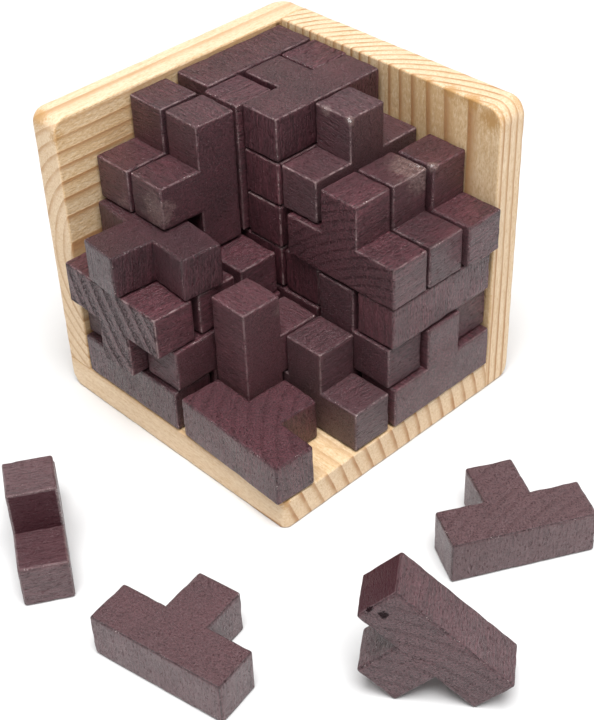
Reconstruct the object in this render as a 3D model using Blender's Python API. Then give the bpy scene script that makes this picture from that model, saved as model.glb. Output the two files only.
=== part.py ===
"""Corner-cube packing puzzle: identical T blocks stacked in a three-board wooden corner tray.

Metres, +Z up.  The origin is the centre of the tray's underside.  The tray has a floor, a left
wall (towards -X) and a back wall (towards +Y); it is open to the front (-Y) and to the right (+X).
Every block is a T, four cubes in one piece, placed by the grid cell of its middle cube.
"""
import math

import bmesh
import bpy
from mathutils import Matrix, Vector

# ------------------------------------------------------------------ driving dimensions
CELL = 0.0107                 # side of one cube; a block is 3 x 2 cubes and 1 cube thick
CLEARANCE = 0.0003            # least gap between two blocks, and between a block and the tray
PITCH = CELL + CLEARANCE      # grid step inside the tray
INSIDE = 0.067                # inside length of the tray along each of its three edges
BOARD = 0.008                 # thickness of the tray's three boards
GLUE_LINE = 0.0003            # gap left between two boards that meet
BLOCK_EASE = 0.0004           # width of the eased edges of a block
BOARD_EASE = 0.0008           # width of the eased edges of a board
ARC_STEPS = 8                 # facets in each rounded board corner
MILLIMETRE = 0.001
TOUCH = 0.0001                # two points closer than this count as the same
SHARP_ANGLE = math.radians(30)
QUARTER_TURN = math.radians(90)
OUTWARD_BEND = 0.1            # an edge that bends out by more than this, in radians, is eased

LEFT_CORNER = 0.0032          # corner radius at the free top corner of the left wall
BACK_CORNER = 0.0040          # corner radius at the free top corner of the back wall
FLOOR_CORNER = 0.0020         # corner radius at the free front corner of the floor
OUTER_EDGE = 0.0034           # radius of the long outer edge where two boards lap

# Inner corner of the tray, where the floor and both walls meet.
CORNER = Vector(((BOARD - INSIDE) / 2, INSIDE / 2, BOARD))

PLUM = (0.105, 0.052, 0.060, 1.0)
PLUM_ROUGHNESS = 0.45
PINE = (0.800, 0.610, 0.370, 1.0)
PINE_ROUGHNESS = 0.6

# ------------------------------------------------------------------ the stack of blocks
# The blocks of the stack that show, from the top down.  Each row holds its middle cube (column
# from the left wall, row from the back wall, level from the floor), the direction of its bar,
# the direction of its stem, how far it has slid to the right and to the front, in
# millimetres, and how far it is turned, in degrees seen from above.
STACK = [
    (0, 1, 5, "y", "-z", 0.0, 0.3, 0.0),
    (2, 1, 5, "y", "-x", 0.0, 0.6, 0.0),
    (1, 0, 4, "z", "-x", 0.0, 0.0, 0.0),
    (1, 2, 4, "z", "-x", 0.0, 1.6, 0.0),
    (3, 1, 4, "y", "+z", 0.0, 0.0, 0.0),
    (0, 3, 4, "z", "-y", 0.0, 2.7, 0.0),
    (1, 3, 4, "z", "-y", 0.6, 2.4, -2.0),
    (2, 1, 4, "y", "-x", 0.0, 0.6, 0.0),
    (2, 1, 3, "y", "-x", 0.0, 0.6, 0.0),
    (4, 0, 3, "x", "+z", 3.0, 0.0, 0.0),
    (4, 1, 3, "x", "+z", 2.0, 0.5, 0.0),
    (4, 2, 3, "x", "+z", 1.9, 0.8, 0.0),
    (1, 4, 3, "x", "-y", 0.6, 5.4, -5.0),
    (1, 3, 2, "x", "-z", 0.0, 1.4, 0.0),
    (1, 4, 2, "x", "-z", 0.0, 3.0, 0.0),
    (1, 5, 2, "x", "-z", 0.1, 4.2, -1.0),
    (5, 1, 2, "y", "-x", 1.2, 0.6, 0.0),
    (0, 4, 1, "y", "-z", 0.0, 0.0, 0.0),
    (2, 4, 1, "y", "-z", 0.3, 0.5, 0.0),
    (3, 4, 1, "z", "+y", 1.0, 1.0, -1.0),
    (4, 0, 1, "z", "+x", 0.0, 0.0, 0.0),
    (4, 2, 1, "z", "+x", 0.6, 0.7, 0.0),
    (1, 5, 0, "x", "+y", 0.0, 1.2, 0.0),
    (4, 3, 0, "x", "+z", 1.2, 0.7, 0.0),
    (4, 5, 0, "x", "+y", 1.4, 1.9, -2.5),
    (5, 1, 0, "y", "+z", 1.6, 0.1, 0.0),
]

# Grid steps (column, row, level) and world directions.
STEPS = {"+x": (1, 0, 0), "-x": (-1, 0, 0), "+y": (0, -1, 0), "-y": (0, 1, 0),
         "+z": (0, 0, 1), "-z": (0, 0, -1)}

# ------------------------------------------------------------------ blocks on the table
# x and y of the middle of the block's middle cube in metres, turn in degrees, how it lies.
LOOSE = [
    (0.0035, -0.0732, -31.1, "stem_up"),
    (0.0492, -0.0751, 10.9, "flat"),
    (0.0881, -0.0415, 36.6, "on_two_corners"),
    (0.0762, -0.0035, 61.2, "flat"),
]


def clear_scene():
    """Start from an empty scene."""
    for obj in list(bpy.data.objects):
        bpy.data.objects.remove(obj, do_unlink=True)


def wood_material(name, colour, roughness):
    """A plain wood finish in one colour."""
    material = bpy.data.materials.new(name)
    material.use_nodes = True
    shader = material.node_tree.nodes["Principled BSDF"]
    shader.inputs["Base Color"].default_value = colour
    shader.inputs["Roughness"].default_value = roughness
    shader.inputs["Metallic"].default_value = 0.0
    material.diffuse_color = colour
    return material


def extrude_outline(points, thickness):
    """A closed bmesh: the outline, counter-clockwise in XY, raised from z = 0."""
    mesh = bmesh.new()
    face = mesh.faces.new([mesh.verts.new((x, y, 0.0)) for x, y in points])
    grown = bmesh.ops.extrude_face_region(mesh, geom=[face])
    raised = [item for item in grown["geom"] if isinstance(item, bmesh.types.BMVert)]
    bmesh.ops.translate(mesh, verts=raised, vec=(0.0, 0.0, thickness))
    bmesh.ops.recalc_face_normals(mesh, faces=mesh.faces[:])
    return mesh


def ease_edges(mesh, edges, width):
    """One flat chamfer of the given width along the edges."""
    bmesh.ops.bevel(mesh, geom=edges, offset=width, segments=1, affect="EDGES",
                    profile=0.5, clamp_overlap=True)


def edge_middle(edge):
    """Middle of an edge."""
    return (edge.verts[0].co + edge.verts[1].co) / 2


def convex_edges(mesh):
    """Edges that stick out, so not the two inner corners of a T."""
    mesh.normal_update()
    return [edge for edge in mesh.edges if edge.calc_face_angle_signed(0.0) > OUTWARD_BEND]


def finish_object(name, mesh, colour, roughness):
    """Turn a bmesh into a named object with a material of its own."""
    data = bpy.data.meshes.new(name)
    mesh.to_mesh(data)
    mesh.free()
    return place_object(name, data, colour, roughness)


def place_object(name, data, colour, roughness):
    """Link an object to the scene; its material sits on the object, not on the mesh."""
    obj = bpy.data.objects.new(name, data)
    bpy.context.scene.collection.objects.link(obj)
    if not data.materials:
        data.materials.append(None)
    obj.material_slots[0].link = "OBJECT"
    obj.material_slots[0].material = wood_material(name + "_finish", colour, roughness)
    return obj


# ------------------------------------------------------------------ blocks

def block_mesh():
    """The T block: bar along X, stem towards +Y, origin in the middle of its middle cube."""
    half = CELL / 2
    arm = 1.5 * CELL
    tip = 1.5 * CELL
    outline = [(-arm, -half), (arm, -half), (arm, half), (half, half),
               (half, tip), (-half, tip), (-half, half), (-arm, half)]
    mesh = extrude_outline(outline, CELL)
    bmesh.ops.translate(mesh, verts=mesh.verts[:], vec=(0.0, 0.0, -half))
    ease_edges(mesh, convex_edges(mesh), BLOCK_EASE)
    data = bpy.data.meshes.new("t_block")
    mesh.to_mesh(data)
    mesh.free()
    return data


def world_direction(step):
    """Unit vector in the world of a grid step."""
    column, row, level = step
    return Vector((column, -row, level))


def block_turn(bar, stem):
    """Rotation that lays the bar and the stem along grid directions."""
    along = world_direction(STEPS["+" + bar])
    out = world_direction(STEPS[stem])
    return Matrix((along, out, along.cross(out))).transposed().to_4x4()


def shifted(cell, step, times=1):
    """The grid cell some steps away."""
    return tuple(here + times * move for here, move in zip(cell, step))


def block_cells(middle, bar, stem):
    """The four grid cells of a block."""
    along = STEPS["+" + bar]
    return {middle, shifted(middle, along), shifted(middle, along, -1),
            shifted(middle, STEPS[stem])}


def fill_core(hollow):
    """Fill the cells with blocks, lowest cell first; returns (middle, bar, stem) of each.

    The first fit found is kept, so the result is always the same; None if there is no fit."""
    if not hollow:
        return []
    target = min(hollow, key=lambda cell: (cell[2], cell[0], cell[1]))
    for bar in "xyz":
        for stem in STEPS:
            if stem[1] == bar:
                continue
            for offset in sorted(block_cells((0, 0, 0), bar, stem)):
                middle = shifted(target, offset, -1)
                cells = block_cells(middle, bar, stem)
                if not cells <= hollow:
                    continue
                rest = fill_core(hollow - cells)
                if rest is not None:
                    return [(middle, bar, stem)] + rest
    return None


def core_blocks():
    """The hidden blocks: they fill every cell under the ones that show."""
    shown = set()
    for column, row, level, bar, stem, *_ in STACK:
        shown |= block_cells((column, row, level), bar, stem)
    below = {(column, row, under) for column, row, level in shown for under in range(level)}
    return fill_core(frozenset(below - shown))


def cell_centre(column, row, level):
    """Middle of a grid cell of the packed stack."""
    inset = Vector((1, -1, 1)) * (CLEARANCE + CELL / 2)
    return CORNER + world_direction((column, row, level)) * PITCH + inset


def stacked_block(name, data, place):
    """One block in the tray."""
    column, row, level, bar, stem, right, front, turn = place
    obj = place_object(name, data, PLUM, PLUM_ROUGHNESS)
    slip = Vector((right, -front, 0.0)) * MILLIMETRE
    spin = Matrix.Rotation(math.radians(turn), 4, "Z")
    where = Matrix.Translation(cell_centre(column, row, level) + slip)
    obj.matrix_world = where @ spin @ block_turn(bar, stem)


def loose_block(name, data, place):
    """One block on the table, lowered until its lowest corner touches the table."""
    x, y, turn, lie = place
    tilt = {
        "flat": Matrix.Identity(4),
        "stem_up": Matrix.Rotation(QUARTER_TURN, 4, "X"),
        "on_two_corners": (Matrix.Rotation(QUARTER_TURN / 2, 4, "Y")
                           @ Matrix.Rotation(-QUARTER_TURN, 4, "X")),
    }[lie]
    pose = Matrix.Rotation(math.radians(turn), 4, "Z") @ tilt
    lowest = min((pose @ vertex.co).z for vertex in data.vertices)
    obj = place_object(name, data, PLUM, PLUM_ROUGHNESS)
    obj.matrix_world = Matrix.Translation((x, y, -lowest)) @ pose


# ------------------------------------------------------------------ tray

def rounded_outline(corners):
    """Outline through (x, y, radius) corners, counter-clockwise, with each corner an arc."""
    points = []
    count = len(corners)
    for index, (x, y, radius) in enumerate(corners):
        here = Vector((x, y))
        before = (Vector(corners[index - 1][:2]) - here).normalized()
        after = (Vector(corners[(index + 1) % count][:2]) - here).normalized()
        if radius == 0.0:
            points.append((x, y))
            continue
        centre = here + (before + after) * radius
        start = (-after).to_3d()
        for step in range(ARC_STEPS + 1):
            angle = QUARTER_TURN * step / ARC_STEPS
            ray = Matrix.Rotation(angle, 3, "Z") @ start
            points.append((centre.x + radius * ray.x, centre.y + radius * ray.y))
    return points


def board_object(name, corners, placed, outer_edge, seam):
    """A board from its outline, moved by `placed` to its place in the tray.

    `outer_edge` is true for a point on the long outer edge, which is rounded; `seam` is true
    for a point where the board meets another one, where its edges stay sharp.  Both take
    points measured from the tray's inner corner."""
    mesh = extrude_outline(rounded_outline(corners), BOARD)
    bmesh.ops.transform(mesh, matrix=placed, verts=mesh.verts[:])
    bmesh.ops.recalc_face_normals(mesh, faces=mesh.faces[:])
    long_edge = [edge for edge in mesh.edges if outer_edge(edge_middle(edge) - CORNER)]
    bmesh.ops.bevel(mesh, geom=long_edge, offset=OUTER_EDGE, segments=ARC_STEPS,
                    affect="EDGES", profile=0.5)
    mesh.normal_update()
    open_edges = [edge for edge in mesh.edges if edge.calc_face_angle(0.0) > SHARP_ANGLE
                  and not seam(edge_middle(edge) - CORNER)]
    ease_edges(mesh, open_edges, BOARD_EASE)
    return finish_object(name, mesh, PINE, PINE_ROUGHNESS)


def tray_boards():
    """Floor, left wall and back wall, each lapping the next like the sails of a windmill."""
    reach = BOARD - TOUCH
    seam_zone = 2 * GLUE_LINE

    floor = [(-BOARD, -INSIDE, 0.0), (INSIDE, -INSIDE, FLOOR_CORNER),
             (INSIDE, -GLUE_LINE, 0.0), (-BOARD, -GLUE_LINE, 0.0)]
    floor_place = Matrix.Translation(CORNER + Vector((0, 0, -BOARD)))
    board_object("floor_board", floor, floor_place,
                 lambda p: p.x < -reach and p.z < -reach,
                 lambda p: p.y > -seam_zone or (p.z > -TOUCH and p.x < TOUCH))

    # Outline of the left wall in (distance from the front, height).
    left = [(-INSIDE, GLUE_LINE, 0.0), (BOARD, GLUE_LINE, 0.0),
            (BOARD, INSIDE, 0.0), (-INSIDE, INSIDE, LEFT_CORNER)]
    upright_x = Matrix(((0, 0, 1, 0), (1, 0, 0, 0), (0, 1, 0, 0), (0, 0, 0, 1)))
    left_place = Matrix.Translation(CORNER + Vector((-BOARD, 0, 0))) @ upright_x
    board_object("left_wall", left, left_place,
                 lambda p: p.x < -reach and p.y > reach,
                 lambda p: p.z < seam_zone or (p.x > -TOUCH and p.y > -TOUCH))

    # Outline of the back wall in (distance to the right, height).
    back = [(GLUE_LINE, -BOARD, 0.0), (INSIDE, -BOARD, 0.0),
            (INSIDE, INSIDE, BACK_CORNER), (GLUE_LINE, INSIDE, 0.0)]
    upright_y = Matrix(((1, 0, 0, 0), (0, 0, -1, 0), (0, 1, 0, 0), (0, 0, 0, 1)))
    back_place = Matrix.Translation(CORNER + Vector((0, BOARD, 0))) @ upright_y
    board_object("back_wall", back, back_place,
                 lambda p: p.y > reach and p.z < -reach,
                 lambda p: p.x < seam_zone or (p.y < TOUCH and p.z < TOUCH))


def build():
    """Model the whole puzzle."""
    clear_scene()
    tray_boards()
    data = block_mesh()
    for number, place in enumerate(STACK, 1):
        stacked_block(f"t_block_{number:02d}", data, place)
    for number, (middle, bar, stem) in enumerate(core_blocks(), 1):
        stacked_block(f"core_block_{number:02d}", data, (*middle, bar, stem, 0.0, 0.0, 0.0))
    for number, place in enumerate(LOOSE, 1):
        loose_block(f"loose_block_{number}", data, place)


build()
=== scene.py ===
"""Looks for the T-block corner cube: plum-painted T blocks in a pine corner tray.

Each block and board of the frame is redrawn with rounded, slightly worn edges and takes a
solid wood pattern that is fixed to the piece, so grain runs through from face to face.
"""

import math
import random

import bmesh
import bpy
from mathutils import Matrix, Vector, noise


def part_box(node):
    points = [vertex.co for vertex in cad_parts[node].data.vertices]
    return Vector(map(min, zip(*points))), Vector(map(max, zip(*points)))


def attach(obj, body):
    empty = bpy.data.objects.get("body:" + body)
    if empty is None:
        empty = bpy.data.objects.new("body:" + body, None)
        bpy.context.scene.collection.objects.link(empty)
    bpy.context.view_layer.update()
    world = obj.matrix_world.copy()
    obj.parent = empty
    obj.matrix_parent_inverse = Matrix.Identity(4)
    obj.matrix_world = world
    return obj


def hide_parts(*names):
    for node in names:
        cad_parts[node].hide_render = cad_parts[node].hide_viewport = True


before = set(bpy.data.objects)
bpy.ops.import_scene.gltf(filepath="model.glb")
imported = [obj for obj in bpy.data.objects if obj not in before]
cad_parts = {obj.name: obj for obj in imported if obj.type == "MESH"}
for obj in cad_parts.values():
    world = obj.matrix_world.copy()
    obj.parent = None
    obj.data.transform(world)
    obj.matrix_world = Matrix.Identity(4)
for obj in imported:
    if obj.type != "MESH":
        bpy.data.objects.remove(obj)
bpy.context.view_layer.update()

MM = 0.001

# The tray's inner corner, its boards' thickness and its inside length, from the frame.
INNER = Vector((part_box("left_wall")[1].x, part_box("back_wall")[0].y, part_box("floor_board")[1].z))
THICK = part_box("floor_board")[1].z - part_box("floor_board")[0].z
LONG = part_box("floor_board")[1].x - INNER.x

# Turns X to Y, Y to Z and Z to X.
TURN_ROUND = Matrix(((0, 0, 1, 0), (1, 0, 0, 0), (0, 1, 0, 0), (0, 0, 0, 1)))
QUARTER = math.radians(90)

# ------------------------------------------------------------------ camera, light and table
CAMERA_TARGET = Vector((0.0032, 0.0038, 0.0071))
CAMERA_AZIMUTH = math.radians(47.2)
CAMERA_ELEVATION = math.radians(38.44)
CAMERA_DISTANCE = 0.351
CAMERA_ROLL = math.radians(-2.36)
CAMERA_LENS = 72.9
SENSOR = 36.0
NEAR_CLIP, FAR_CLIP = 0.01, 20.0
SKY_STRENGTH = 0.48
KEY_PLACE = Vector((0.32, -0.25, 1.25))
KEY_SIZE = 0.80
KEY_POWER = 23.5
TABLE_HALF = 3.0              # half the side of the pale table
TABLE_GREYS = (0.73, 0.76)

# ------------------------------------------------------------------ block shape
BLOCK_STEPS = 10              # mesh cells along one cube side
BLOCK_EDGE = 0.58 * MM        # radius of a block's worn edges
BLOCK_EDGE_STEPS = 4
BLOCK_NODES = sorted(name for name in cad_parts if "block" in name)
T_CELLS = [(-1, 0), (0, 0), (1, 0), (0, 1)]
CREASE = math.radians(50)     # inner corners sharper than this stay sharp
CONVEX = 0.5                  # radians; an edge that bends out by more than this is rounded
WARP = 0.05 * MM              # how far the faces stray from flat
WARP_PITCH = 9.0              # mm between the warp's waves
BLOCK_DENT = 0.30 * MM        # deepest dent in a block's edge
BLOCK_DENT_PITCH = 2.6        # mm between the dents
FIRST_SEED = 1000             # seed of the first block's random values
USUAL_RING = 2.5              # mm; spacing of the growth rings in most blocks

# Blocks with bolder growth rings than usual: how strongly they show on the T faces, their
# spacing in mm, and the middle of the rings in mm from the middle of the block.
BOLD_RINGS = {"t_block_12": (0.60, 2.2, (-25, -43)), "t_block_16": (1.0, 4.0, (-60, -35)),
              "t_block_25": (0.35, 3.2, (-30, 30)), "loose_block_4": (0.5, 2.8, (-30, -45)),
              "loose_block_3": (0.40, 3.0, (14, 34))}

# Blocks whose edges have a dark rim instead of the pale line of rubbed paint and painted
# highlight, and how dark: -1 is the darkest.
DARK_EDGED = {"t_block_13": -0.2, "t_block_25": -0.3, "loose_block_2": -0.7,
              "loose_block_3": -0.5, "loose_block_4": -0.6}

# Glossy spots of thick lacquer, painted with a pale sheen and white glints as painted highlights:
# block, place in mm, radius in mm, strength.
GLOSS_AND_PAINTED_SHEEN_SPOTS = [
    ("t_block_05", (14.4, 11.2, 73.4), 2.6, 1.2),
    ("t_block_05", (6.8, 11.2, 73.2), 2.4, 1.0),
    ("t_block_11", (25.4, 20.6, 62.7), 10.5, 0.84),
    ("t_block_07", (-10.0, -23.7, 56.5), 7.5, 0.80),
    ("t_block_06", (-21.0, -23.9, 54.5), 6.0, 0.50),
    ("t_block_10", (27.6, 23.0, 62.6), 2.4, 0.95),
    ("t_block_20", (15.0, -11.8, 38.0), 5.0, 0.55),
]

# Bare spots where the lacquer has chipped: block, place in mm, radius in mm, depth.
CHIPS = [
    ("loose_block_3", (83.4, -51.7, 23.8), 1.7, 0.95),
    ("loose_block_3", (81.2, -53.2, 24.8), 1.2, 0.90),
]

# Faces painted darker and duller as painted shade: block, middle of the cube's face,
# strength. The middle is in cube sides from the middle of the block's middle cube: X along
# the bar, Y up the stem, Z through the thickness.
SHADED_FACES = [
    ("loose_block_1", (-0.5, 1, 0), 0.9),
    ("loose_block_1", (-1, 0.5, 0), 0.55),
    ("loose_block_3", (-1.5, 0, 0), 1.0),
]
SHADED_FACE_REACH = math.sqrt(0.5)   # cube sides; from the middle of such a face to its corners
SHADED_FACE_SLACK = 0.033            # cube sides; how far a facet of it may lie off the face's plane

# Handled blocks, paler than the rest by a film of dust: its strength, 0 to 1.
DUSTY = {"loose_block_1": 0.70, "loose_block_2": 0.75, "loose_block_3": 0.35,
         "loose_block_4": 1.0, "t_block_05": 0.25, "t_block_20": 0.2, "t_block_24": 0.25}

# Colours of the painted blocks.
PLUM_SHADES = [(0.0, (0.050, 0.0150, 0.0205)), (0.5, (0.070, 0.0195, 0.0265)),
               (1.0, (0.092, 0.0250, 0.0335))]
LATE_WOOD = (0.018, 0.007, 0.009)
DUST = (0.152, 0.085, 0.090)
PORE = (0.012, 0.005, 0.006)
# Painted shade: the darker plum put on some chosen faces.
PAINTED_SHADE_PLUM = (0.050, 0.0105, 0.0165)
# Pale edge line: rubbed paint and a painted highlight.
WORN_EDGE_AND_PAINTED_HIGHLIGHT = (0.300, 0.205, 0.203)
# Dark rim along the edges of some blocks.
DARK_RIM = (0.014, 0.006, 0.008)
NICK = (0.720, 0.580, 0.560)
SPECK = (0.330, 0.230, 0.230)
# Painted sheen on the glossy spots.
PAINTED_SHEEN = (0.250, 0.165, 0.150)
# Painted glints: white highlights on the glossy spots.
PAINTED_GLINT = (0.80, 0.74, 0.72)
BARE = (0.016, 0.006, 0.008)

# ------------------------------------------------------------------ tray
BOARD_ROUND = 0.6 * MM        # radius of the boards' sanded edges
BOARD_ROUND_STEPS = 4
BOARD_BEND = math.radians(30)  # an edge that bends by more than this is rounded
BOARD_DENT = 0.16 * MM        # deepest dent in a board's edge
BOARD_DENT_PITCH = 2.2        # mm between the dents
OUTER_ROUND = 3.4 * MM        # radius of the long outer edge where two boards lap
CORNER_ROUND = {"floor_board": 2.0 * MM, "left_wall": 3.2 * MM, "back_wall": 4.0 * MM}
ARC_STEPS = 8
SEAM = 0.05 * MM              # gap at a glued joint
GRID = 2.5 * MM               # mesh cell on the boards

# Colours of the pine.
PINE_SHADES = [(0.0, (0.66, 0.44, 0.235)), (0.5, (0.74, 0.525, 0.305)),
               (1.0, (0.78, 0.585, 0.375))]
# Narrow faces: freshly sanded wood with a painted sheen.
SANDED_AND_PAINTED_SHEEN = (0.81, 0.640, 0.455)
FIBRE = (0.56, 0.34, 0.155)
FUZZ_DARK = (0.46, 0.29, 0.125)
FUZZ_PALE = (0.92, 0.77, 0.55)
RING_BAND = (0.49, 0.275, 0.120)
RING_LINE = (0.42, 0.205, 0.085)
RAY = (0.46, 0.28, 0.13)
RUBBED_PINE = (0.60, 0.37, 0.17)

# Stains on the boards: place in the board's wood space in mm, radius, strength, colour.
KNOT = (0.085, 0.040, 0.020)
SCORCH = (0.47, 0.245, 0.070)
TORN = (0.62, 0.42, 0.16)
FLOOR_STAINS = [((35.5, 117.5, 48.0), 3.0, 0.8, SCORCH), ((30.0, 117.0, 48.0), 2.6, 0.6, TORN)]
LEFT_STAINS = [((32.4, 18.5, 34.6), 1.1, 1.0, KNOT), ((-29.0, 18.5, -3.0), 5.0, 1.0, TORN),
               ((-33.0, 24.5, 34.5), 3.6, 0.7, SCORCH), ((-33.0, 18.5, 32.0), 2.6, 0.6, SCORCH)]
BACK_STAINS = [((72.0, 28.5, 0.5), 4.2, 0.8, SCORCH), ((74.8, 28.5, 6.0), 3.4, 0.8, SCORCH),
               ((74.8, 28.5, 12.0), 3.0, 0.7, SCORCH), ((74.8, 28.5, 19.0), 2.6, 0.5, SCORCH),
               ((74.0, 36.0, -1.0), 3.0, 0.5, SCORCH)]


def link(obj):
    """Put an object into the scene."""
    bpy.context.scene.collection.objects.link(obj)
    return obj


# ------------------------------------------------------------------ node graphs

class Graph:
    """Short calls for building one material's nodes."""

    def __init__(self, name):
        self.material = bpy.data.materials.new(name)
        self.material.use_nodes = True
        self.tree = self.material.node_tree
        self.shader = self.tree.nodes["Principled BSDF"]

    def node(self, kind, inputs=(), **settings):
        """A node; inputs pairs a socket's name or number with a value or another socket."""
        made = self.tree.nodes.new(kind)
        for key, value in settings.items():
            setattr(made, key, value)
        for key, value in inputs:
            self.put(made.inputs[key], value)
        return made

    def put(self, socket, value):
        """Link a socket to another one, or set its value."""
        if isinstance(value, bpy.types.NodeSocket):
            self.tree.links.new(value, socket)
        else:
            socket.default_value = value

    def finish(self, surface):
        """The material, with the given values on its shader's sockets."""
        for name, value in surface.items():
            self.put(self.shader.inputs[name], value)
        return self.material

    def attribute(self, name, output="Fac"):
        """A value stored on the mesh."""
        return self.node("ShaderNodeAttribute", attribute_name=name).outputs[output]

    def math(self, operation, first, second=0.0, third=0.0):
        """One arithmetic step."""
        made = self.node("ShaderNodeMath", [(0, first), (1, second), (2, third)],
                         operation=operation)
        return made.outputs[0]

    def scaled(self, vector, factors):
        """A vector multiplied axis by axis."""
        made = self.node("ShaderNodeVectorMath", [(0, vector), (1, factors)],
                         operation="MULTIPLY")
        return made.outputs[0]

    def noise(self, vector, scale, detail=3.0, roughness=0.5):
        """Fractal noise, about 0.5 on average."""
        made = self.node("ShaderNodeTexNoise", [("Vector", vector), ("Scale", scale),
                                                ("Detail", detail), ("Roughness", roughness)])
        return made.outputs["Fac"]

    def span(self, value, low, high, to_low=0.0, to_high=1.0):
        """Smooth step from to_low at low to to_high at high."""
        made = self.node("ShaderNodeMapRange",
                         [("Value", value), ("From Min", low), ("From Max", high),
                          ("To Min", to_low), ("To Max", to_high)],
                         interpolation_type="SMOOTHSTEP")
        return made.outputs[0]

    def ramp(self, value, stops):
        """Colours at positions along a value."""
        made = self.node("ShaderNodeValToRGB", [("Fac", value)])
        elements = made.color_ramp.elements
        while len(elements) < len(stops):
            elements.new(0.5)
        for element, (position, colour) in zip(elements, stops):
            element.position = position
            element.color = opaque(colour)
        return made.outputs["Color"]

    def mix(self, factor, first, second, blend="MIX"):
        """Two colours mixed."""
        made = self.node("ShaderNodeMix", data_type="RGBA", blend_type=blend)
        self.put(made.inputs["Factor"], factor)
        self.put(made.inputs["A"], first)
        self.put(made.inputs["B"], second)
        return made.outputs["Result"]

    def bump(self, height, distance, strength=1.0, under=None):
        """A bumped normal; height 1 stands the distance above height 0."""
        inputs = [("Height", height), ("Distance", distance), ("Strength", strength)]
        if under is not None:
            inputs.append(("Normal", under))
        return self.node("ShaderNodeBump", inputs).outputs["Normal"]


def opaque(colour):
    """A colour socket's value."""
    return (*colour, 1.0)


def ring_field(graph, wood, spacing, wander):
    """Growth rings round the X axis of the wood's own space, in ring numbers."""
    flat = graph.scaled(wood, (0.0, 1.0, 1.0))
    radius = graph.node("ShaderNodeVectorMath", [(0, flat)], operation="LENGTH").outputs["Value"]
    drift = graph.noise(graph.scaled(wood, (0.008, 0.03, 0.03)), 1.0, 2.0)
    small = graph.noise(graph.scaled(wood, (0.04, 0.35, 0.35)), 1.0, 2.0)
    shifted = graph.math("MULTIPLY_ADD", drift, wander, radius)
    shifted = graph.math("MULTIPLY_ADD", small, wander * 0.07, shifted)
    return graph.math("DIVIDE", shifted, spacing)


def grey(graph, value):
    """A value as a colour."""
    return graph.node("ShaderNodeCombineColor", [("Red", value), ("Green", value),
                                                 ("Blue", value)]).outputs["Color"]


# ------------------------------------------------------------------ plum paint

def late_wood(g, wood, grain):
    """A painted block's growth rings: thin dark lines, and bands of pores where they are bold."""
    rings = g.math("FRACT", ring_field(g, wood, g.attribute("ring"), 4.0))
    line = g.math("MULTIPLY", g.span(rings, 0.50, 0.80), g.span(rings, 1.0, 0.90))
    line = g.math("MULTIPLY", line,
                  g.span(g.noise(g.scaled(wood, (0.5, 1.5, 1.5)), 1.0, 2.0), 0.36, 0.56))
    band = g.math("MULTIPLY", g.span(rings, 0.20, 0.45), g.span(rings, 1.0, 0.85))
    holes = g.span(g.noise(g.scaled(wood, (0.8, 1.9, 1.9)), 1.0, 3.0, 0.7), 0.46, 0.56)
    return g.math("MAXIMUM", line,
                  g.math("MULTIPLY", g.math("MULTIPLY", band, holes), g.span(grain, 0.6, 1.0)))


def rub_and_highlight_edges(g, body, wood, rim, dabs, grit):
    """The colour with its edges painted pale, as rubbed paint with a painted highlight, or rimmed
    dark, and nicked to the pale wood.
    """
    rub_and_highlight_strength = g.attribute("rub_and_highlight_strength")
    # Pale edge line: rubbed paint and a painted highlight.
    rub = g.math("MULTIPLY", rim, g.span(dabs, 0.42, 0.60, 0.10, 1.0))
    pale = g.math("MULTIPLY", rub, g.math("MAXIMUM", rub_and_highlight_strength, 0.0))
    body = g.mix(g.math("MULTIPLY", pale, 0.85), body, opaque(WORN_EDGE_AND_PAINTED_HIGHLIGHT))
    dark = g.math("MULTIPLY", rim, g.math("MAXIMUM", g.math("MULTIPLY", rub_and_highlight_strength, -1.0), 0.0))
    body = g.mix(g.math("MULTIPLY", dark, 0.85), body, opaque(DARK_RIM))
    nicks = g.math("MULTIPLY", g.span(g.attribute("edge"), 0.3, 0.9), g.span(grit, 0.63, 0.67))
    nicks = g.math("MULTIPLY", nicks, g.span(g.noise(wood, 0.28, 2.0), 0.50, 0.62))
    return g.mix(nicks, body, opaque(NICK))


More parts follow.
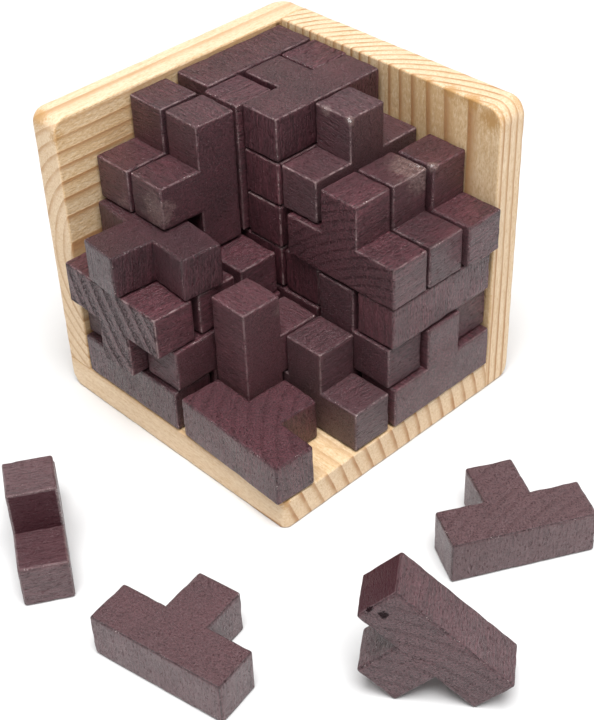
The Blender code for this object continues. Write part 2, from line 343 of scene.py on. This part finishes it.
def plum_paint():
    """Dark plum lacquer over wood: fine fibres show through, edges are painted pale as rubbed paint
    and a painted highlight.
    """
    g = Graph("plum_paint")
    wood = g.attribute("wood", "Vector")
    grain = g.attribute("grain")
    gloss_and_painted_sheen = g.attribute("gloss_and_painted_sheen")
    painted_shade = g.attribute("painted_shade")

    ring_line = late_wood(g, wood, grain)
    fibres = g.noise(g.scaled(wood, (0.14, 2.4, 2.4)), 1.0, 4.0, 0.65)
    hairs = g.noise(g.scaled(wood, (0.4, 5.0, 5.0)), 1.0, 2.0, 0.6)
    leather = g.noise(g.scaled(wood, (1.3, 2.0, 2.0)), 1.0, 4.0, 0.80)
    clouds = g.noise(g.scaled(wood, (0.10, 0.10, 0.10)), 1.0, 3.0)
    dabs = g.noise(wood, 0.42, 4.0, 0.65)
    pores = g.span(g.noise(g.scaled(wood, (0.9, 2.8, 2.8)), 1.0, 1.5, 0.5), 0.58, 0.68)
    grit = g.noise(wood, 4.0, 2.0, 0.6)

    # Stained wood under the lacquer.
    red = g.math("MULTIPLY_ADD", clouds, 0.8, g.math("MULTIPLY", g.attribute("tone"), 0.35))
    body = g.ramp(g.span(red, 0.25, 0.90), PLUM_SHADES)
    mottle = g.math("MULTIPLY", g.span(fibres, 0.32, 0.68, 0.64, 1.36),
                    g.span(leather, 0.36, 0.64, 0.60, 1.42))
    body = g.mix(1.0, body, grey(g, mottle), "MULTIPLY")
    body = g.mix(g.math("MULTIPLY", ring_line, g.math("MULTIPLY_ADD", grain, 0.70, 0.06)),
                 body, opaque(LATE_WOOD))
    film = g.math("MULTIPLY", g.attribute("dust"), g.span(fibres, 0.32, 0.68, 0.36, 0.84))
    body = g.mix(film, body, opaque(DUST))
    body = g.mix(g.math("MULTIPLY", pores, g.math("MULTIPLY_ADD", grain, 0.70, 0.18)),
                 body, opaque(PORE))
    # Painted shade: some chosen faces are painted a darker plum.
    body = g.mix(g.math("MULTIPLY", painted_shade, 0.90), body, opaque(PAINTED_SHADE_PLUM))

    # Wear with a painted edge highlight, and spots where the lacquer is thick, shown with painted
    # sheen and painted glints, or gone.
    rim = g.span(g.attribute("edge"), 0.50, 0.95)
    body = rub_and_highlight_edges(g, body, wood, rim, dabs, grit)
    specks = g.span(g.noise(wood, 2.6, 1.0), 0.755, 0.785)
    body = g.mix(g.math("MULTIPLY", specks, 0.6), body, opaque(SPECK))
    # Painted sheen: the glossy spots are painted paler, besides being glossier.
    shine_and_painted_sheen = g.span(g.math("MULTIPLY_ADD", g.math("SUBTRACT", dabs, 0.5), 0.9, gloss_and_painted_sheen),
                   0.25, 0.55)
    shine_and_painted_sheen = g.math("MULTIPLY", shine_and_painted_sheen, g.span(leather, 0.38, 0.58, 0.30, 1.0))
    body = g.mix(g.math("MULTIPLY", shine_and_painted_sheen, 0.55), body, opaque(PAINTED_SHEEN))
    # Painted glints: white specks where the glossy spots are strongest.
    painted_glints = g.math("MULTIPLY", g.span(g.math("MULTIPLY", gloss_and_painted_sheen, grit), 0.44, 0.50), 0.9)
    body = g.mix(painted_glints, body, opaque(PAINTED_GLINT))
    bare = g.span(g.math("MULTIPLY_ADD", g.math("SUBTRACT", leather, 0.5), 1.2,
                         g.attribute("chip")), 0.30, 0.45)
    body = g.mix(bare, body, opaque(BARE))

    sheen = g.span(g.noise(wood, 0.16, 3.0, 0.6), 0.3, 0.7, 0.34, 0.50)
    rough = g.math("MULTIPLY_ADD", pores, 0.12, sheen)
    rough = g.math("MULTIPLY_ADD", shine_and_painted_sheen, -0.16, rough)
    rough = g.math("MULTIPLY_ADD", rim, -0.12, rough)
    # Pores and late wood are open: they throw no light back. Faces with painted shade and bare spots
    # shine less too.
    closed = g.math("MULTIPLY_ADD", g.math("MULTIPLY", ring_line, grain), -0.80, 1.0)
    for opening, loss in ((pores, -0.55), (painted_shade, -0.72), (bare, -0.90)):
        closed = g.math("MULTIPLY", closed, g.math("MULTIPLY_ADD", opening, loss, 1.0))
    relief = g.math("MULTIPLY_ADD", hairs, 0.30, fibres)
    relief = g.math("MULTIPLY_ADD", pores, -0.45, relief)
    relief = g.math("MULTIPLY_ADD", ring_line, g.math("MULTIPLY", grain, -0.8), relief)
    relief = g.math("MULTIPLY_ADD", bare, -2.5, relief)
    normal = g.bump(leather, 0.38 * MM, 0.95)
    normal = g.bump(relief, 0.20 * MM, 0.90, normal)
    lacquer = g.math("MULTIPLY", closed, g.span(leather, 0.36, 0.64, 0.12, 0.66))
    return g.finish({
        "Base Color": body, "Roughness": rough, "Normal": normal,
        "Specular IOR Level": g.math("MULTIPLY", closed, 0.46),
        "Coat Weight": g.math("MULTIPLY_ADD", shine_and_painted_sheen, 0.4, lacquer),
        "Coat Roughness": 0.13, "Coat Normal": normal})


# ------------------------------------------------------------------ pine

def pine(name, ring_width, wander, on_faces, on_ends, spots):
    """Bare sanded pine: cream early wood and thin orange-brown late wood in rings.

    The rings show at strength `on_faces` on the broad faces and `on_ends` on the narrow ones.
    `spots` are stains: (place in the wood in mm, radius in mm, strength, colour)."""
    g = Graph(name)
    wood = g.attribute("wood", "Vector")
    edge = g.attribute("edge")
    narrow_face = g.attribute("narrow_face")
    rings = g.math("FRACT", ring_field(g, wood, ring_width, wander))
    late = g.math("MULTIPLY", g.span(rings, 0.42, 0.90), g.span(rings, 1.0, 0.93))
    line = g.math("POWER", late, 2.6)
    strength = g.span(g.noise(g.scaled(wood, (0.02, 0.22, 0.22)), 1.0, 2.0), 0.3, 0.7, 0.40, 0.95)
    strength = g.math("MULTIPLY", strength, g.span(narrow_face, 0.0, 1.0, on_faces, on_ends))
    fibres = g.noise(g.scaled(wood, (0.10, 1.7, 1.7)), 1.0, 5.0, 0.65)
    rays = g.noise(g.scaled(wood, (0.30, 4.5, 4.5)), 1.0, 3.0, 0.6)
    fuzz = g.noise(g.scaled(wood, (0.9, 2.2, 2.2)), 1.0, 4.0, 0.7)
    clouds = g.noise(g.scaled(wood, (0.02, 0.08, 0.08)), 1.0, 3.0)

    body = g.ramp(g.span(clouds, 0.3, 0.7), PINE_SHADES)
    # Narrow faces painted paler: freshly sanded wood, and a painted sheen.
    body = g.mix(g.math("MULTIPLY", narrow_face, 0.75), body, opaque(SANDED_AND_PAINTED_SHEEN))
    body = g.mix(g.span(fibres, 0.42, 0.75, 0.0, 0.42), body, opaque(FIBRE))
    rough_cut = g.math("MULTIPLY_ADD", narrow_face, -0.5, 1.0)
    body = g.mix(g.math("MULTIPLY", rough_cut, g.span(fuzz, 0.50, 0.70, 0.0, 0.50)), body,
                 opaque(FUZZ_DARK))
    body = g.mix(g.math("MULTIPLY", rough_cut, g.span(fuzz, 0.50, 0.30, 0.0, 0.42)), body,
                 opaque(FUZZ_PALE))
    body = g.mix(g.math("MULTIPLY", late, g.math("MULTIPLY", strength, 0.60)), body,
                 opaque(RING_BAND))
    body = g.mix(g.math("MULTIPLY", line, strength), body, opaque(RING_LINE))
    body = g.mix(g.span(rays, 0.62, 0.72, 0.0, 0.25), body, opaque(RAY))
    for place, radius, depth, colour in spots:
        away = g.node("ShaderNodeVectorMath", [(0, wood), (1, place)], operation="DISTANCE")
        near = g.math("MULTIPLY_ADD", g.math("SUBTRACT", fuzz, 0.5), -radius * 1.6,
                      away.outputs["Value"])
        stain = g.math("MULTIPLY", g.span(near, radius, radius * 0.2, 0.0, depth),
                       g.math("MULTIPLY_ADD", edge, 0.95, 0.05))
        body = g.mix(stain, body, opaque(colour))
    rub = g.math("MULTIPLY", edge, g.span(fuzz, 0.4, 0.7, 0.0, 0.35))
    body = g.mix(rub, body, opaque(RUBBED_PINE))

    relief = g.math("MULTIPLY_ADD", late, 0.45, fibres)
    relief = g.math("MULTIPLY_ADD", rays, 0.4, relief)
    normal = g.bump(fuzz, 0.22 * MM, 0.7)
    normal = g.bump(relief, 0.12 * MM, 0.7, normal)
    return g.finish({
        "Base Color": body, "Roughness": g.span(fibres, 0.3, 0.7, 0.50, 0.64),
        "Normal": normal, "Specular IOR Level": 0.30})


# ------------------------------------------------------------------ blocks

def axis_areas(mesh):
    """The mesh's faces grouped by direction: [direction, area], largest area first."""
    groups = []
    for face in mesh.polygons:
        for group in groups:
            if abs(group[0].dot(face.normal)) > 0.999:
                group[1] += face.area
                break
        else:
            groups.append([face.normal.copy(), face.area])
    return sorted(groups, key=lambda group: -group[1])


def block_placement(mesh):
    """(placement, cube side): where a block drawn along X with its stem to +Y has to go."""
    z_axis, y_axis = (direction for direction, _ in axis_areas(mesh)[:2])
    area = sum(face.area for face in mesh.polygons)
    weight = sum((face.center * face.area for face in mesh.polygons), Vector()) / area

    def reach(direction):
        steps = [vertex.co.dot(direction) for vertex in mesh.vertices]
        return min(steps), max(steps)

    low, high = reach(y_axis)
    if weight.dot(y_axis) > (low + high) / 2:
        y_axis = -y_axis
    y_axis = (y_axis - z_axis * y_axis.dot(z_axis)).normalized()
    x_axis = y_axis.cross(z_axis)
    side = reach(z_axis)[1] - reach(z_axis)[0]
    middle = (x_axis * sum(reach(x_axis)) / 2 + y_axis * (reach(y_axis)[0] + side / 2)
              + z_axis * sum(reach(z_axis)) / 2)
    turn = Matrix((x_axis, y_axis, z_axis)).transposed().to_4x4()
    return Matrix.Translation(middle) @ turn, side


def t_shape(side):
    """A T of four cubes, meshed in small squares, as a bmesh."""
    mesh = bmesh.new()
    made = {}

    def corner(key):
        if key not in made:
            spot = Vector(key) / BLOCK_STEPS - Vector((0.5, 0.5, 0.5))
            made[key] = mesh.verts.new(spot * side)
        return made[key]

    def patch(start, first, second):
        for i in range(BLOCK_STEPS):
            for j in range(BLOCK_STEPS):
                base = start + first * i + second * j
                ring = [base, base + first, base + first + second, base + second]
                mesh.faces.new([corner(tuple(int(c) for c in spot)) for spot in ring])

    x_step, y_step, z_step = Vector((1, 0, 0)), Vector((0, 1, 0)), Vector((0, 0, 1))
    for column, row in T_CELLS:
        low = Vector((column, row, 0)) * BLOCK_STEPS
        patch(low, x_step, y_step)
        patch(low + z_step * BLOCK_STEPS, x_step, y_step)
        if (column - 1, row) not in T_CELLS:
            patch(low, y_step, z_step)
        if (column + 1, row) not in T_CELLS:
            patch(low + x_step * BLOCK_STEPS, y_step, z_step)
        if (column, row - 1) not in T_CELLS:
            patch(low, x_step, z_step)
        if (column, row + 1) not in T_CELLS:
            patch(low + y_step * BLOCK_STEPS, x_step, z_step)
    bmesh.ops.recalc_face_normals(mesh, faces=mesh.faces[:])
    return mesh


def round_edges(mesh, width, steps):
    """Round the convex edges; returns a layer that rises to 1 at the middle of the rounding."""
    layer = mesh.verts.layers.float.new("edge")
    mesh.normal_update()
    sharp = [edge for edge in mesh.edges if edge.calc_face_angle_signed(0.0) > CONVEX]
    made = bmesh.ops.bevel(mesh, geom=sharp, offset=width, segments=steps, affect="EDGES",
                           profile=0.5)
    # The layer climbs in three rows, from the flat's border to the middle of the rounding.
    rounding = set(made["faces"])
    inside = {vertex for vertex in made["verts"]
              if all(face in rounding for face in vertex.link_faces)}
    for vertex in made["verts"]:
        if vertex not in inside:
            vertex[layer] = 0.2
        elif all(edge.other_vert(vertex) in inside for edge in vertex.link_edges):
            vertex[layer] = 1.0
        else:
            vertex[layer] = 0.66
    mesh.normal_update()
    return layer


def wear(mesh, layer, seed, dent, pitch):
    """Push points in: a slow warp on the faces, and dents `pitch` mm apart along the edges."""
    away = Vector((seed * 7.3, seed * 3.1, seed * 5.7))    # its own part of the noise
    for vertex in mesh.verts:
        spot = vertex.co / MM
        slow = 0.5 + 0.5 * noise.noise(spot / WARP_PITCH + away)
        rough = max(0.0, noise.noise(spot / pitch + away) + 0.05)
        depth = WARP * slow + dent * rough * vertex[layer]
        vertex.co -= vertex.normal * depth
    mesh.normal_update()


def spread_of(spots, name, place):
    """Full strength at the middle of the nearest of a block's spots, 0 outside all of them."""
    reach = [strength * (1.0 - (place / MM - Vector(middle)).length / radius)
             for block, middle, radius, strength in spots if block == name]
    return max([0.0, *reach])


def painted_shade_of(node, face, side):
    """How strongly painted shade darkens one facet of a block, 0 to 1."""
    for block, middle, strength in SHADED_FACES:
        away = face.calc_center_median() / side - Vector(middle)
        off_plane = abs(away.dot(face.normal))
        if block == node and away.length < SHADED_FACE_REACH and off_plane < SHADED_FACE_SLACK:
            return strength
    return 0.0


def store(data, name, values, domain="POINT"):
    """One number per point or face, for the material to read."""
    data.attributes.new(name, "FLOAT", domain)
    data.attributes[name].data.foreach_set("value", values)


def finish_piece(name, mesh, material):
    """Turn a bmesh into a smooth object; flat faces stay flat and inner corners stay sharp."""
    data = bpy.data.meshes.new(name)
    mesh.to_mesh(data)
    mesh.free()
    data.shade_smooth()
    data.set_sharp_from_angle(angle=CREASE)
    data.materials.append(material)
    piece = link(bpy.data.objects.new(name, data))
    flat = piece.modifiers.new("flat_faces", "WEIGHTED_NORMAL")
    flat.keep_sharp = True
    flat.weight = 100
    return piece


def keep_wood(mesh, wood_space):
    """Store each point's place in the wood, in millimetres."""
    layer = mesh.verts.layers.float_vector.new("wood")
    for vertex in mesh.verts:
        vertex[layer] = wood_space @ (vertex.co / MM)


def block_piece(node, material, number):
    """One painted block in place of its CAD node."""
    dice = random.Random(FIRST_SEED + number)
    placement, side = block_placement(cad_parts[node].data)
    mesh = t_shape(side)
    layer = round_edges(mesh, BLOCK_EDGE, BLOCK_EDGE_STEPS)
    wear(mesh, layer, number, BLOCK_DENT, BLOCK_DENT_PITCH)
    angle = dice.uniform(0, 2 * math.pi)
    reach = dice.uniform(30, 80)
    usual = (dice.uniform(0.0, 0.20), USUAL_RING,
             (reach * math.cos(angle), reach * math.sin(angle)))
    grain, ring, (across, up) = BOLD_RINGS.get(node, usual)
    start = Vector((dice.uniform(-300, 300), -across, -up))
    lean = Matrix.Rotation(math.radians(dice.uniform(-7, 7)), 4, "Y")
    # The grain runs through the block's thickness, so the T faces are end grain.
    keep_wood(mesh, Matrix.Translation(start) @ lean @ TURN_ROUND)
    bold = [grain if abs(vertex.co.z) > side / 2 - BLOCK_EDGE * 0.5 else grain * 0.25
            for vertex in mesh.verts]
    # Painted shade on some chosen faces.
    painted_shade = [painted_shade_of(node, face, side) for face in mesh.faces]
    bmesh.ops.transform(mesh, matrix=placement, verts=mesh.verts[:])
    piece = finish_piece(node + "_painted", mesh, material)
    data = piece.data
    rub_and_highlight_strength = DARK_EDGED.get(node, dice.uniform(0.1, 1.0))
    store(data, "tone", [dice.random()] * len(data.vertices))
    store(data, "grain", bold)
    store(data, "ring", [ring] * len(data.vertices))
    store(data, "dust", [DUSTY.get(node, 0.0)] * len(data.vertices))
    store(data, "rub_and_highlight_strength", [rub_and_highlight_strength] * len(data.vertices))
    store(data, "gloss_and_painted_sheen", [spread_of(GLOSS_AND_PAINTED_SHEEN_SPOTS, node, vertex.co) for vertex in data.vertices])
    store(data, "chip", [spread_of(CHIPS, node, vertex.co) for vertex in data.vertices])
    store(data, "painted_shade", painted_shade, "FACE")
    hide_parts(node)
    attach(piece, node)


# ------------------------------------------------------------------ boards

def rounded_outline(corners):
    """Outline through (x, y, radius) corners, counter-clockwise, with each corner an arc."""
    points = []
    count = len(corners)
    for index, (x, y, radius) in enumerate(corners):
        here = Vector((x, y))
        before = (Vector(corners[index - 1][:2]) - here).normalized()
        after = (Vector(corners[(index + 1) % count][:2]) - here).normalized()
        if radius == 0.0:
            points.append((x, y))
            continue
        centre = here + (before + after) * radius
        for step in range(ARC_STEPS + 1):
            ray = Matrix.Rotation(QUARTER * step / ARC_STEPS, 3, "Z") @ (-after).to_3d()
            points.append((centre.x + radius * ray.x, centre.y + radius * ray.y))
    return points


def middle_of(edge):
    """Middle of an edge."""
    return (edge.verts[0].co + edge.verts[1].co) / 2


def board_shape(corners, placed, lap, seam):
    """A sanded board as a bmesh; `lap` picks its long outer edge, `seam` its glued edges."""
    mesh = bmesh.new()
    low = [mesh.verts.new((x, y, 0.0)) for x, y in rounded_outline(corners)]
    high = [mesh.verts.new((v.co.x, v.co.y, THICK)) for v in low]
    mesh.faces.new(low[::-1])
    mesh.faces.new(high)
    for index, vertex in enumerate(low):
        following = (index + 1) % len(low)
        mesh.faces.new([vertex, low[following], high[following], high[index]])
    bmesh.ops.transform(mesh, matrix=placed, verts=mesh.verts[:])
    bmesh.ops.recalc_face_normals(mesh, faces=mesh.faces[:])
    long_edge = [edge for edge in mesh.edges if lap(middle_of(edge) - INNER)]
    bmesh.ops.bevel(mesh, geom=long_edge, offset=OUTER_ROUND, segments=ARC_STEPS,
                    affect="EDGES", profile=0.5)
    layer = mesh.verts.layers.float.new("edge")
    mesh.normal_update()
    sharp = [edge for edge in mesh.edges if edge.calc_face_angle(0.0) > BOARD_BEND
             and not seam(middle_of(edge) - INNER)]
    made = bmesh.ops.bevel(mesh, geom=sharp, offset=BOARD_ROUND, segments=BOARD_ROUND_STEPS,
                           affect="EDGES", profile=0.5, clamp_overlap=True)
    for vertex in made["verts"]:
        vertex[layer] = 1.0
    # Cut the faces into cells, so that the warp has points to move.
    for axis in range(3):
        normal = Vector([float(axis == index) for index in range(3)])
        places = [vertex.co[axis] for vertex in mesh.verts]
        for step in range(1, math.ceil((max(places) - min(places)) / GRID)):
            bmesh.ops.bisect_plane(mesh, geom=mesh.verts[:] + mesh.edges[:] + mesh.faces[:],
                                   plane_co=normal * (min(places) + step * GRID),
                                   plane_no=normal, dist=0.02 * MM)
    mesh.normal_update()
    return mesh, layer


def board_piece(node, material, wood_space, corners, placed, lap, seam):
    """A pine board in place of its CAD node."""
    mesh, layer = board_shape(corners, placed, lap, seam)
    keep_wood(mesh, wood_space)
    wear(mesh, layer, len(node), BOARD_DENT, BOARD_DENT_PITCH)
    reach = [[vertex.co[axis] for vertex in mesh.verts] for axis in range(3)]
    sizes = [max(places) - min(places) for places in reach]
    thin = sizes.index(min(sizes))
    piece = finish_piece(node + "_pine", mesh, material)
    sawn = [float(abs(face.normal[thin]) < 0.6) for face in piece.data.polygons]
    store(piece.data, "narrow_face", sawn, "FACE")
    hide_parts(node)
    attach(piece, "tray")


def make_tray():
    """Floor, left wall and back wall, each lapping the next like the sails of a windmill.

    Outlines are (x, y, radius) from the tray's inner corner, drawn flat and then stood up. The
    move in a board's wood space says how far from it the heart of the tree was, in mm."""
    near = THICK - 0.1 * MM
    touch = 0.2 * MM

    floor = [(-THICK, -LONG, 0.0), (LONG, -LONG, CORNER_ROUND["floor_board"]),
             (LONG, -SEAM, 0.0), (-THICK, -SEAM, 0.0)]
    wood = pine("pine_floor", ring_width=3.8, wander=3.0, on_faces=0.45, on_ends=1.10,
                spots=FLOOR_STAINS)
    board_piece("floor_board", wood, Matrix.Translation((0, 150, 40)), floor,
                Matrix.Translation(INNER + Vector((0, 0, -THICK))),
                lambda p: p.x < -near and p.z < -near,
                lambda p: p.y > -touch or (p.z > -touch and p.x < touch))

    left = [(-LONG, SEAM, 0.0), (THICK, SEAM, 0.0),
            (THICK, LONG, 0.0), (-LONG, LONG, CORNER_ROUND["left_wall"])]
    wood = pine("pine_left", ring_width=2.95, wander=2.5, on_faces=1.0, on_ends=0.60,
                spots=LEFT_STAINS)
    board_piece("left_wall", wood,
                Matrix.Translation((0, -11, -39)) @ Matrix.Rotation(-QUARTER, 4, "Z"), left,
                Matrix.Translation(INNER + Vector((-THICK, 0, 0))) @ TURN_ROUND,
                lambda p: p.x < -near and p.y > near,
                lambda p: p.z < touch or (p.x > -touch and p.y > -touch))

    back = [(SEAM, -THICK, 0.0), (LONG, -THICK, 0.0),
            (LONG, LONG, CORNER_ROUND["back_wall"]), (SEAM, LONG, 0.0)]
    stood_up = Matrix(((1, 0, 0, 0), (0, 0, -1, 0), (0, 1, 0, 0), (0, 0, 0, 1)))
    wood = pine("pine_back", ring_width=2.3, wander=4.0, on_faces=1.15, on_ends=1.0,
                spots=BACK_STAINS)
    board_piece("back_wall", wood,
                Matrix.Translation((0, -5, 35)) @ Matrix.Rotation(QUARTER, 4, "Y"), back,
                Matrix.Translation(INNER + Vector((0, THICK, 0))) @ stood_up,
                lambda p: p.y > near and p.z < -near,
                lambda p: p.x < touch or (p.y < touch and p.z < touch))


# ------------------------------------------------------------------ stage

def make_camera():
    """The camera looks down into the open corner of the tray, tipped a little clockwise."""
    data = bpy.data.cameras.new("camera")
    data.lens = CAMERA_LENS
    data.sensor_width = SENSOR
    data.clip_start = NEAR_CLIP
    data.clip_end = FAR_CLIP
    camera = link(bpy.data.objects.new("camera", data))
    back = Vector((math.sin(CAMERA_AZIMUTH) * math.cos(CAMERA_ELEVATION),
                   -math.cos(CAMERA_AZIMUTH) * math.cos(CAMERA_ELEVATION),
                   math.sin(CAMERA_ELEVATION)))
    turn = (-back).to_track_quat("-Z", "Y").to_matrix().to_4x4()
    roll = Matrix.Rotation(CAMERA_ROLL, 4, "Z")
    camera.matrix_world = Matrix.Translation(CAMERA_TARGET + back * CAMERA_DISTANCE) @ turn @ roll
    bpy.context.scene.camera = camera


def make_light():
    """A square soft box, high up on the right, aimed at the middle of the tray."""
    data = bpy.data.lights.new("key_box", "AREA")
    data.size = KEY_SIZE
    data.energy = KEY_POWER
    light = link(bpy.data.objects.new("key_box", data))
    light.location = KEY_PLACE
    light.rotation_euler = (CAMERA_TARGET - KEY_PLACE).to_track_quat("-Z", "Y").to_euler()


def make_stage():
    """Pale table and pale surroundings."""
    world = bpy.data.worlds.new("studio")
    bpy.context.scene.world = world
    world.use_nodes = True
    sky = world.node_tree.nodes["Background"]
    sky.inputs["Color"].default_value = opaque((1.0, 1.0, 1.0))
    sky.inputs["Strength"].default_value = SKY_STRENGTH
    bpy.context.scene.view_settings.view_transform = "Standard"

    data = bpy.data.meshes.new("floor")
    corners = [(-1, -1), (1, -1), (1, 1), (-1, 1)]
    data.from_pydata([(x * TABLE_HALF, y * TABLE_HALF, 0) for x, y in corners],
                     [], [(0, 1, 2, 3)])
    g = Graph("pale_floor")
    grain = g.noise(g.node("ShaderNodeTexCoord").outputs["Object"], 60.0, 2.0)
    shade = g.mix(grain, opaque([TABLE_GREYS[0]] * 3), opaque([TABLE_GREYS[1]] * 3))
    data.materials.append(g.finish({"Base Color": shade, "Roughness": 0.7}))
    link(bpy.data.objects.new("floor", data))


make_camera()
make_stage()
make_light()
paint = plum_paint()
for count, block in enumerate(BLOCK_NODES):
    block_piece(block, paint, count)
make_tray()
